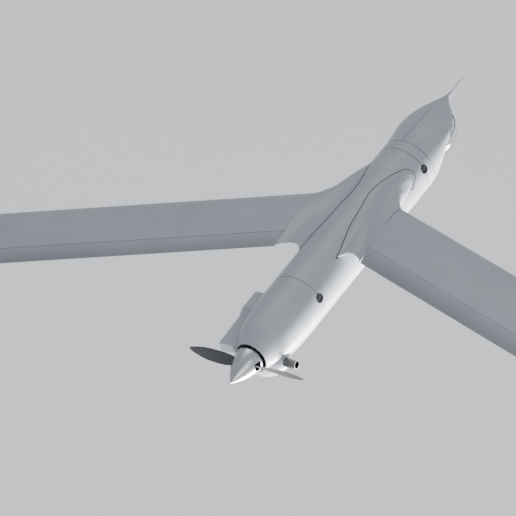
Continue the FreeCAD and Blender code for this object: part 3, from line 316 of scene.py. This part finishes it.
def clear_glass(name, tint, rough):
    """Moulded clear canopy: faint haze and wiped dust that only touches its roughness and tint."""
    glass = Paint(name, Transmission_Weight=1.0, IOR=1.46)
    haze = glass.span(glass.noise(40.0, 5.0, 0.65), 0.46, 0.85)
    glass.colour(glass.colours(haze, tint, tuple(c * 0.965 for c in tint)))
    glass.roughness(glass.span(haze, 0, 1, rough, rough + 0.05))
    return glass.bump(glass.noise(18.0, 1.0), 0.02, 0.0004)


def coated_lens(name):
    """Deep dark lens whose rim takes a painted reflection: the violet-green colour of its coating, mixed in
    by facing.
    """
    lens = Paint(name, Metallic=0.0, Coat_Weight=1.0, Coat_Roughness=0.03, IOR=1.6)
    rim = lens.node("ShaderNodeLayerWeight")
    rim.inputs["Blend"].default_value = 0.35
    drift = lens.noise(120.0, 2.0)
    coating_reflection = lens.colours(drift, (0.030, 0.010, 0.060), (0.008, 0.040, 0.045))
    # Painted reflection: the coating's colour is mixed in towards the rim by facing.
    lens.colour(lens.colours(rim.outputs["Facing"], (0.004, 0.005, 0.008), coating_reflection))
    lens.roughness(lens.span(drift, 0.2, 0.8, 0.05, 0.10))
    return lens


def heated_steel(name):
    """Exhaust pipe: dull steel, browned and then dark towards the hull, with soot inside its open end,
    painted near-black so that it also stands in for the shade in the bore.
    """
    steel = Paint(name, Metallic=1.0, Specular_IOR_Level=0.15)
    mottle = steel.noise(160.0, 4.0, 0.65)
    inboard = steel.plus(steel.axis("X"), steel.times(mottle, 0.012))
    straw = steel.colours(steel.span(inboard, *PIPE_BROWN), (0.23, 0.23, 0.226), (0.19, 0.175, 0.155))
    heat = steel.colours(steel.span(inboard, *PIPE_DARK), straw, (0.13, 0.13, 0.14))
    y = steel.less(steel.axis("Y"), PIPE_Y)
    z = steel.less(steel.axis("Z"), PIPE_MOUTH_Z)
    radius = steel.maths("SQRT", steel.plus(steel.times(y, y), steel.times(z, z)))
    # Inside the bore: real soot, and painted shade where little light reaches.
    soot_and_shade = steel.times(steel.span(radius, *PIPE_BORE), 0.96)
    steel.colour(steel.colours(soot_and_shade, heat, (0.0015, 0.0015, 0.0015)))
    steel.feed(steel.shader.inputs["Metallic"], steel.span(soot_and_shade, 0.2, 0.8, 1.0, 0.0))
    steel.roughness(steel.plus(steel.span(mottle, 0.3, 0.7, 0.40, 0.52), steel.times(soot_and_shade, 0.45)))
    return steel.bump(mottle, 0.15, 0.0001)


hull_paint = satin_paint("hull_paint", HULL_GREY, hull_lines)
fairing_paint = satin_paint("fairing_paint", HULL_GREY, fairing_lines)
wing_paint = satin_paint("wing_paint", WING_GREY, wing_lines)
elevon_paint = satin_paint("elevon_paint", WING_GREY, elevon_painted_shade)
fin_paint = satin_paint("fin_paint", WING_GREY)
spinner_metal = turned_metal("spinner_metal", (0.55, 0.56, 0.58), 0.24, 0.0016, strength=0.02)
plate_metal = turned_metal("plate_metal", (0.42, 0.43, 0.45), 0.30, 0.0009)
shaft_steel = turned_metal("shaft_steel", (0.52, 0.52, 0.53), 0.24, 0.0007)
blade_cloth = woven("blade_cloth", (0.040, 0.041, 0.043), (0.078, 0.079, 0.082), 0.0036, 0.40, "Y", 0.26)
dark_cloth = woven("dark_cloth", (0.016, 0.016, 0.018), (0.045, 0.046, 0.050), 0.0040)
spar_cloth = woven("spar_cloth", (0.014, 0.014, 0.016), (0.040, 0.041, 0.044), 0.0030)
latch_metal = cast_metal(
    "latch_metal", (0.042, 0.043, 0.047), 0.55, 520.0, 0.0, 0.35, Specular_IOR_Level=0.12,
)
lug_metal = cast_metal("lug_metal", (0.50, 0.51, 0.53), 0.38, 360.0)
engine_metal = cast_metal("engine_metal", (0.40, 0.41, 0.42), 0.46, 260.0, 1.0, 0.40)
probe_metal = turned_metal("probe_metal", (0.58, 0.58, 0.58), 0.28, 0.0008)
silencer_iron = cast_metal("silencer_iron", (0.10, 0.095, 0.09), 0.62, 180.0, 0.7, 0.5)
rod_steel = turned_metal("rod_steel", (0.50, 0.50, 0.51), 0.26, 0.0006, axis="X")
hook_steel = cast_metal("hook_steel", (0.46, 0.47, 0.48), 0.30, 700.0, 1.0, 0.12)
frame_metal = cast_metal("frame_metal", (0.30, 0.31, 0.33), 0.40, 420.0)
dome_glass = clear_glass("dome_glass", (0.93, 0.945, 0.95), 0.02)
lens_glass = coated_lens("lens_glass")
ball_plastic = moulded("ball_plastic", (0.035, 0.036, 0.040), 0.36, 900.0, 0.10)
servo_plastic = moulded("servo_plastic", (0.020, 0.020, 0.022), 0.42)
nylon = moulded("nylon", (0.030, 0.030, 0.032), 0.48)
tank_plastic = moulded("tank_plastic", (0.62, 0.61, 0.56), 0.34, 300.0, 0.12)
battery_wrap = moulded("battery_wrap", (0.035, 0.045, 0.085), 0.28, 200.0, 0.10)
pipe_steel = heated_steel("pipe_steel")
seal_rubber = moulded("seal_rubber", (0.050, 0.051, 0.054), 0.72, 520.0, 0.22)

FINISHES = {
    hull_paint: [
        "nose_shell_port", "nose_shell_starboard", "nose_collar", "centre_fuselage", "tail_cowl",
        "belly_cover", "cooling_scoop",
    ],
    fairing_paint: ["port_root_fairing", "starboard_root_fairing"],
    wing_paint: ["port_wing_panel", "starboard_wing_panel"],
    elevon_paint: ["port_elevon", "starboard_elevon"],
    fin_paint: ["port_winglet", "starboard_winglet", "port_rudder", "starboard_rudder"],
    spinner_metal: ["spinner_cone"],
    plate_metal: ["spinner_backplate"],
    shaft_steel: ["drive_shaft", "propeller_bolts"],
    blade_cloth: ["propeller"],
    dark_cloth: ["turret_seat", "joint_rings", "avionics_tray"],
    spar_cloth: ["wing_spars"],
    latch_metal: ["forward_latch_port", "forward_latch_starboard", "aft_latch_port", "aft_latch_starboard"],
    lug_metal: ["launch_lug"],
    engine_metal: ["crankcase", "engine_cylinder", "carburettor", "throttle_lever"],
    frame_metal: ["turret_base", "turret_yoke", "firewall", "spar_joiner"],
    probe_metal: ["pitot_probe"],
    silencer_iron: ["silencer"],
    rod_steel: ["elevon_hinge_rods", "port_pushrod", "starboard_pushrod"],
    hook_steel: ["wingtip_hooks"],
    dome_glass: ["dome_window"],
    lens_glass: ["camera_lenses"],
    ball_plastic: ["camera_ball"],
    servo_plastic: ["elevon_servos", "throttle_servo"],
    nylon: [
        "latch_receptacles", "port_elevon_horn", "starboard_elevon_horn",
        "port_servo_arm", "starboard_servo_arm",
    ],
    tank_plastic: ["fuel_tank"],
    battery_wrap: ["battery_pack"],
    pipe_steel: ["exhaust_pipe"],
}
for finish, names in FINISHES.items():
    for name in names:
        nodes[name].data.materials.clear()
        nodes[name].data.materials.append(finish.material)
bare = sorted(set(nodes) - {name for names in FINISHES.values() for name in names})
if bare:
    raise RuntimeError(f"these nodes have no finish: {bare}")


# ---- mesh helpers -------------------------------------------------------------------------------
def mesh_of(name, build):
    """Runs build(bm) and gives the result as a mesh with smooth faces."""
    bm = bmesh.new()
    build(bm)
    bmesh.ops.recalc_face_normals(bm, faces=bm.faces)
    mesh = bpy.data.meshes.new(name)
    bm.to_mesh(mesh)
    bm.free()
    for face in mesh.polygons:
        face.use_smooth = True
    return mesh


def piece(name, build, finish, body):
    """Makes an object from build(bm), with the finish's material, that rides on a body."""
    mesh = mesh_of(name, build)
    made = bpy.data.objects.new(name, mesh)
    bpy.context.scene.collection.objects.link(made)
    mesh.materials.append(finish.material)
    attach(made, body)


def circle(sides):
    """Cosine and sine at even steps round a circle."""
    return [(math.cos(a), math.sin(a)) for a in (2 * math.pi * k / sides for k in range(sides))]


def skirt(bm, low, high):
    """A band of faces between two rings of as many corners."""
    for k in range(len(low)):
        j = (k + 1) % len(low)
        bm.faces.new((low[k], low[j], high[j], high[k]))


def sweep_tube(bm, points, radius, closed, squash, outward):
    """Round bead along points, flattened by squash along the outward direction at each point."""
    rings = []
    count = len(points)
    for i, point in enumerate(points):
        before = points[i - 1] if i or closed else point
        after = points[(i + 1) % count] if i < count - 1 or closed else point
        tangent = (after - before).normalized()
        up = outward(point)
        up = (up - tangent * up.dot(tangent)).normalized()
        side = tangent.cross(up)
        rings.append([
            bm.verts.new(point + side * cos * radius + up * sin * radius * squash)
            for cos, sin in circle(BEAD_SIDES)
        ])
    for i in range(count if closed else count - 1):
        skirt(bm, rings[i], rings[(i + 1) % count])
    if not closed:
        bm.faces.new(rings[0][::-1])
        bm.faces.new(rings[-1])


def lathe(bm, profile, place, sides):
    """Surface of revolution about local Z from (radius, height) pairs. A radius of 0 makes a single point."""
    rings = []
    for radius, height in profile:
        if radius < 1e-7:
            rings.append([bm.verts.new(place @ Vector((0, 0, height)))])
        else:
            rings.append([
                bm.verts.new(place @ Vector((radius * cos, radius * sin, height)))
                for cos, sin in circle(sides)
            ])
    for low, high in zip(rings, rings[1:]):
        if len(low) > 1 and len(high) > 1:
            skirt(bm, low, high)
            continue
        for k in range(sides):
            j = (k + 1) % sides
            bm.faces.new((low[0], high[j], high[k]) if len(low) == 1 else (low[k], low[j], high[0]))


def facing(point, direction):
    """Matrix that puts local Z along direction at point."""
    turn = Vector(direction).normalized().to_track_quat("Z", "Y").to_matrix().to_4x4()
    return Matrix.Translation(point) @ turn


def outline_loops(node, on_face):
    """Loops of edges where a node's faces that satisfy on_face meet its other faces."""
    bm = bmesh.new()
    bm.from_mesh(nodes[node].data)
    bmesh.ops.remove_doubles(bm, verts=bm.verts, dist=WELD)
    marked = {face: on_face(face) for face in bm.faces}
    edges = {
        edge for edge in bm.edges
        if len(edge.link_faces) == 2 and marked[edge.link_faces[0]] != marked[edge.link_faces[1]]
    }
    loops = []
    while edges:
        edge = min(edges, key=lambda e: tuple(round(c, 5) for c in (e.verts[0].co + e.verts[1].co)))
        edges.discard(edge)
        chain = [edge.verts[0], edge.verts[1]]
        for end in (1, 0):
            while True:
                tip = chain[-1] if end else chain[0]
                following = sorted((e for e in tip.link_edges if e in edges), key=lambda e: e.index)
                if not following:
                    break
                edges.discard(following[0])
                other = following[0].other_vert(tip)
                chain.append(other) if end else chain.insert(0, other)
        closed = chain[0] is chain[-1]
        points = [vert.co.copy() for vert in (chain[:-1] if closed else chain)]
        loops.append((points, closed))
    bm.free()
    return loops


def resampled(points, closed):
    """The polyline at even steps of about BEAD_STEP."""
    path = points + [points[0]] if closed else points
    lengths = [0.0]
    for a, b in zip(path, path[1:]):
        lengths.append(lengths[-1] + (b - a).length)
    count = max(4, round(lengths[-1] / BEAD_STEP))
    result, i = [], 0
    for k in range(count if closed else count + 1):
        target = lengths[-1] * k / count
        while i < len(path) - 2 and lengths[i + 1] < target:
            i += 1
        share = (target - lengths[i]) / max(lengths[i + 1] - lengths[i], 1e-9)
        result.append(path[i].lerp(path[i + 1], min(1.0, share)))
    return result


def from_axis(point):
    """Outward direction from the fuselage axis."""
    return Vector((point.x, 0, point.z - AXIS_Z)).normalized()


def hull_radius(point):
    """Distance from the fuselage axis."""
    return math.hypot(point.x, point.z - AXIS_Z)


def skin(node):
    """Search tree over a node's faces."""
    mesh = nodes[node].data
    return BVHTree.FromPolygons([v.co for v in mesh.vertices], [p.vertices[:] for p in mesh.polygons])


# ---- seam beads ---------------------------------------------------------------------------------
def run_length(points):
    """Length of a run of points, without the step that closes it."""
    return sum((b - a).length for a, b in zip(points, points[1:]))


def seam_bead(name, node, on_face, radius, proud):
    """Dark sealant bead round the longest outline of a node's outer face, slightly proud of the skin."""
    points, closed = max(outline_loops(node, on_face), key=lambda loop: run_length(loop[0]))
    line = [p + from_axis(p) * proud for p in resampled(points, closed)]

    def build(bm):
        sweep_tube(bm, line, radius, closed, BEAD_SQUASH, from_axis)
    piece(name, build, seal_rubber, "airframe")


def on_hull(face):
    """Whether a face lies on the fuselage's cylinder."""
    middle = face.calc_center_median()
    return abs(hull_radius(middle) - HULL_R) < SKIN_FIT and abs(face.normal.dot(from_axis(middle))) > 0.96


for side in ("port", "starboard"):
    seam_bead(f"{side}_fairing_seal", f"{side}_root_fairing", on_hull, 0.0016, 0.0003)

cowl_skin = skin("tail_cowl")


def cowl_radius(y):
    """Outer radius of the tail cowl, measured at its top, where nothing is cut out of it."""
    hit = cowl_skin.ray_cast(Vector((0, y, AXIS_Z + 0.3)), Vector((0, 0, -1)))
    return hit[0].z - AXIS_Z if hit[0] else 0.0


def on_cowl(face):
    """Whether a face lies on the tail cowl's surface, where the belly cover continues it."""
    middle = face.calc_center_median()
    return (abs(hull_radius(middle) - cowl_radius(middle.y)) < 0.0007
            and abs(face.normal.dot(from_axis(middle))) > 0.8)


seam_bead("belly_cover_seal", "belly_cover", on_cowl, 0.0013, 0.0003)


def on_dome(face):
    """Whether a face lies on the outside of the dome."""
    out = face.calc_center_median() - DOME_CENTRE
    return abs(out.length - DOME_R) < SKIN_FIT and face.normal.dot(out.normalized()) > 0.8


seam_bead("dome_gasket", "dome_window", on_dome, 0.0012, 0.0)


# ---- camera ball trim ---------------------------------------------------------------------------
def on_ball_face(across, up):
    """A place on the camera ball's flat face."""
    return BALL_CENTRE + LOOK * LENS_FACE + Vector((1, 0, 0)) * across + LOOK_UP * up


def build_bezels(bm):
    """A stepped ring round each lens, standing on the ball's flat face."""
    inner, inner_top, outer_top, outer = 0.0001, 0.0004, 0.0011, 0.0014
    foot, shoulder, top = -0.0004, 0.0009, 0.0012
    section = [
        (inner, foot), (inner, shoulder), (inner_top, top),
        (outer_top, top), (outer, shoulder), (outer, foot), (inner, foot),
    ]
    for across, up, radius in EYES:
        profile = [(radius + out, height) for out, height in section]
        lathe(bm, profile, facing(on_ball_face(across, up), LOOK), 48)


piece("lens_bezels", build_bezels, plate_metal, "turret_ball")


# ---- small fasteners ----------------------------------------------------------------------------
def screw(bm, at, direction, radius):
    """Domed head with a round socket."""
    sides = 20
    place = facing(at, direction)
    rise = radius * 0.42
    socket = radius * 0.46
    lathe(bm, [(0, -rise), (radius, -rise), (radius, rise * 0.2), (radius * 0.86, rise * 0.75),
               (radius * 0.62, rise), (socket, rise)], place, sides)
    lip = [bm.verts.new(place @ Vector((socket * cos, socket * sin, rise))) for cos, sin in circle(sides)]
    well = [bm.verts.new(place @ Vector((socket * 0.9 * cos, socket * 0.9 * sin, rise * 0.1)))
            for cos, sin in circle(sides)]
    skirt(bm, lip, well)
    bm.faces.new(well[::-1])
    bmesh.ops.remove_doubles(bm, verts=bm.verts, dist=1e-6)


def build_ball_screws(bm):
    for across, up in BALL_SCREWS:
        screw(bm, on_ball_face(across, up), LOOK, BALL_SCREW_R)


piece("camera_ball_screws", build_ball_screws, shaft_steel, "turret_ball")

belly_skin = skin("belly_cover")


def off_pipe(point):
    """Distance from the exhaust pipe's axis."""
    return (point - PIPE_IN - PIPE_ALONG * (point - PIPE_IN).dot(PIPE_ALONG)).length


def build_belly_screws(bm):
    """Screws down both sides of the cover over the silencer, except where the exhaust pipe comes out."""
    for y in BELLY_SCREW_STATIONS:
        for side in (-1, 1):
            heading = Vector((-side * math.cos(BELLY_SCREW_ANGLE), 0, math.sin(BELLY_SCREW_ANGLE)))
            start = Vector((0, y, BELLY_SCREW_AXIS_Z)) - heading * 0.3
            at, normal = belly_skin.ray_cast(start, heading)[:2]
            if at and off_pipe(at) > PIPE_R * 1.5:
                screw(bm, at + normal * 0.0002, normal, BELLY_SCREW_R)


piece("belly_cover_screws", build_belly_screws, shaft_steel, "airframe")


def build_pipe_rim(bm):
    """Rolled bead round the exhaust pipe's open end."""
    turn = facing(PIPE_OUT - PIPE_ALONG * 0.0009, PIPE_ALONG)
    bead = [turn @ Vector((PIPE_R * cos, PIPE_R * sin, 0)) for cos, sin in circle(48)]
    sweep_tube(bm, bead, 0.0007, True, 1.0, lambda point: PIPE_ALONG)


piece("exhaust_rim", build_pipe_rim, pipe_steel, "airframe")


# ---- servo hatches under the wings --------------------------------------------------------------
def hatch_outline(long, wide, corner, count=10):
    """Rounded rectangle about the origin, anticlockwise."""
    points = []
    for k, (sx, sy) in enumerate(((1, 1), (-1, 1), (-1, -1), (1, -1))):
        for i in range(count):
            a = math.pi / 2 * (k + i / (count - 1))
            x = sx * (long - corner) + corner * math.cos(a)
            points.append((x, sy * (wide - corner) + corner * math.sin(a)))
    return points


def servo_hatch(side, sign):
    """Thin frame screwed to the wing's underside round the servo arm's slot."""
    wing_skin = skin(f"{side}_wing_panel")
    arm_low, arm_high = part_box(f"{side}_servo_arm")
    pivot = (Vector(arm_low) + Vector(arm_high)) / 2
    along = Vector((sign * math.cos(SWEEP), math.sin(SWEEP), 0))
    across = Vector((-sign * math.sin(SWEEP), math.cos(SWEEP), 0))

    def under_wing(u, v):
        """Place and normal on the underside, u along the span from the servo arm and v across it."""
        below = Vector((pivot.x, pivot.y, 0)) + along * u + across * v
        return wing_skin.ray_cast(Vector((below.x, below.y, -0.2)), Vector((0, 0, 1)))[:2]

    def build(bm):
        outer = hatch_outline(HATCH_LONG / 2, HATCH_WIDE / 2, 0.006)
        bevel = [(u * 0.985, v * 0.98) for u, v in outer]
        inner = hatch_outline(SLOT_HALF_WIDE + SLOT_MARGIN, SLOT_HALF_LONG + SLOT_MARGIN, 0.003)
        layers = []
        for outline, proud in (
            (outer, -HATCH_SINK), (outer, HATCH_THICK * 0.6), (bevel, HATCH_THICK), (inner, HATCH_THICK),
            (inner, -HATCH_SINK),
        ):
            places = [under_wing(u, v) for u, v in outline]
            layers.append([bm.verts.new(at + normal * proud) for at, normal in places])
        for low, high in zip(layers, layers[1:] + layers[:1]):
            skirt(bm, low, high)
    piece(f"{side}_servo_hatch", build, fin_paint, "airframe")

    def build_screws(bm):
        end, edge = HATCH_LONG / 2 - HATCH_SCREW_IN, HATCH_WIDE / 2 - HATCH_SCREW_IN
        for u in (-end, end):
            for v in (-edge, 0, edge):
                at, normal = under_wing(u, v)
                screw(bm, at + normal * HATCH_THICK, normal, HATCH_SCREW_R)
    piece(f"{side}_hatch_screws", build_screws, shaft_steel, "airframe")


servo_hatch("port", 1)
servo_hatch("starboard", -1)


# ---- camera, floor and light --------------------------------------------------------------------
cam_data = bpy.data.cameras.new("camera")
cam_data.lens = CAMERA_LENS
cam_data.sensor_width = CAMERA_SENSOR
cam_data.clip_end = 200.0
cam = bpy.data.objects.new("camera", cam_data)
bpy.context.scene.collection.objects.link(cam)
cam.location = CAMERA_AT
cam.rotation_euler = CAMERA_TURN
bpy.context.scene.camera = cam

floor_paint = Paint("floor_paint", Roughness=0.9, Specular_IOR_Level=0.2, Emission_Strength=0.42)
floor_drift = floor_paint.span(floor_paint.noise(0.35, 1.0), 0.3, 0.7)
floor_paint.colour(floor_paint.colours(floor_drift, (0.78, 0.78, 0.78), (0.82, 0.82, 0.82)))
floor_mesh = mesh_of("floor", lambda bm: bmesh.ops.create_grid(bm, x_segments=8, y_segments=8, size=40))
floor = bpy.data.objects.new("floor", floor_mesh)
floor.location.z = FLOOR_Z
floor_mesh.materials.append(floor_paint.material)
bpy.context.scene.collection.objects.link(floor)


def softbox(name, place, target, wide, tall, power, spread=math.pi):
    """Rectangular area light at place, aimed at target and unseen by the camera."""
    lamp = bpy.data.lights.new(name, "AREA")
    lamp.shape = "RECTANGLE"
    lamp.size, lamp.size_y = wide, tall
    lamp.energy = power
    lamp.spread = spread
    made = bpy.data.objects.new(name, lamp)
    bpy.context.scene.collection.objects.link(made)
    made.location = place
    made.rotation_euler = (Vector(target) - Vector(place)).to_track_quat("-Z", "Y").to_euler()
    made.visible_camera = False


softbox("top_light", (0.8, -3.4, 6.5), MIDDLE, 5.0, 4.0, 90)
softbox("side_fill", (-3.6, 1.6, 2.1), MIDDLE, 3.0, 3.0, 60)
softbox("low_light", (-1.40, -0.1, -2.70), (0, 0, 0.12), 3.8, 1.2, 480, spread=math.radians(100))
world = bpy.data.worlds.new("studio")
bpy.context.scene.world = world
world.use_nodes = True
sky = world.node_tree.nodes["Background"]
sky.inputs["Color"].default_value = SKY_COLOUR
sky.inputs["Strength"].default_value = SKY_STRENGTH
